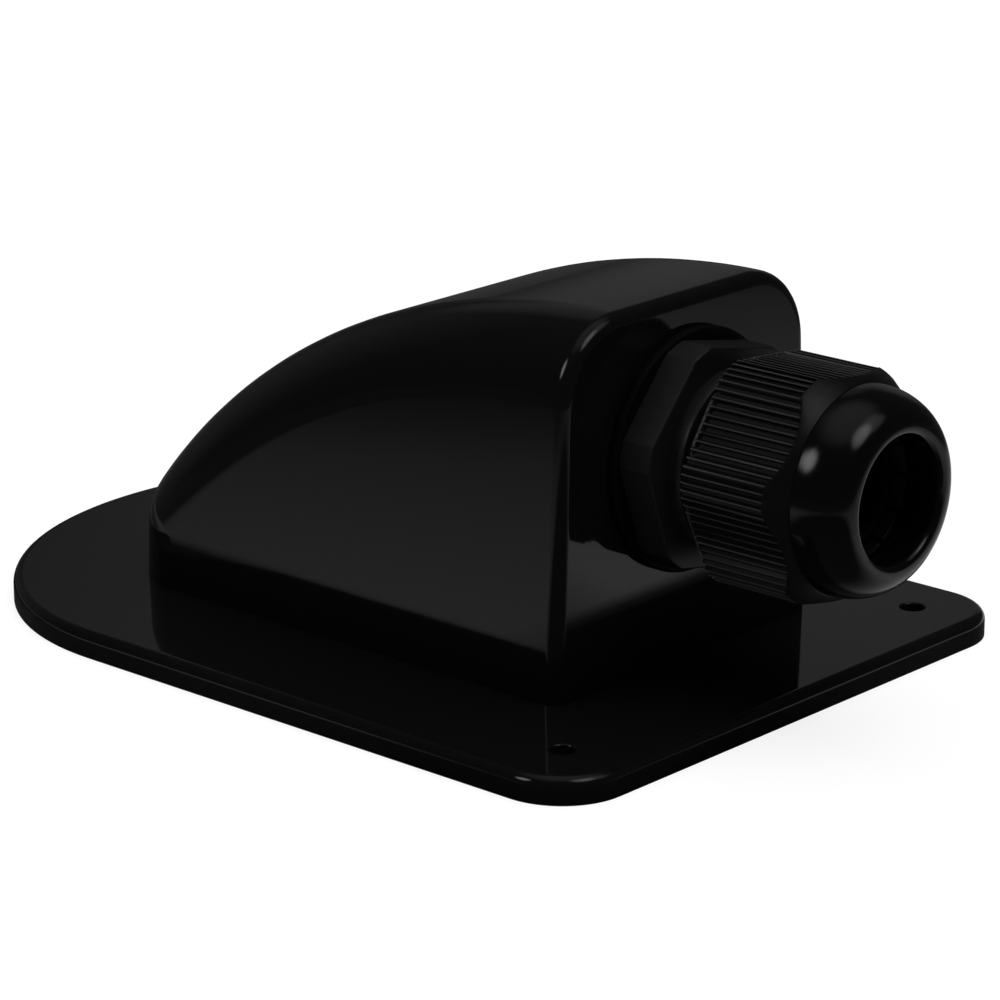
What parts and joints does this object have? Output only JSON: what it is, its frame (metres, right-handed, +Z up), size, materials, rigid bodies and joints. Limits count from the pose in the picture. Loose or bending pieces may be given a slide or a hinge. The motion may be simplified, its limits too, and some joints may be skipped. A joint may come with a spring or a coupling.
{
  "type": "solar roof cable entry box",
  "caption": "Glossy moulded roof cable entry: a rounded wedge-shaped hump on a flat bonding flange, with a screwed dome-nut cable gland in its front wall.",
  "frame": {"origin": "midway between the two screw holes, on the bonding face under the flange", "axes": "+X along the cable, out of the gland; +Z up, away from the roof; +Y to the left seen from behind the hump"},
  "size_m": [0.1176, 0.0764, 0.044],
  "materials": {
    "abs": "glossy black moulded ABS",
    "nylon": "satin black nylon",
    "washer_rubber": "matt black rubber",
    "seal_rubber": "matt black rubber"
  },
  "bodies": {
    "housing": {"housing": "abs", "gland_body": "nylon", "sealing_washer": "washer_rubber", "locknut": "nylon"},
    "clamp": {"clamping_claw": "nylon", "seal_bush": "seal_rubber"},
    "dome_nut": {"dome_nut": "nylon"}
  },
  "joints": [
    {"name": "clamp_slide", "type": "slide", "parent": "housing", "child": "clamp", "axis": [1, 0, 0], "range_m": [-0.00151, 0.00601]},
    {"name": "nut_turn", "type": "hinge", "parent": "clamp", "child": "dome_nut", "pos_m": [0.008, 0, 0.0268], "axis": [1, 0, 0], "range_deg": [-360, 1440]}
  ],
  "couplings": [
    {"joint": "clamp_slide", "follows": "nut_turn", "m_per_rad": 0.00023873}
  ]
}
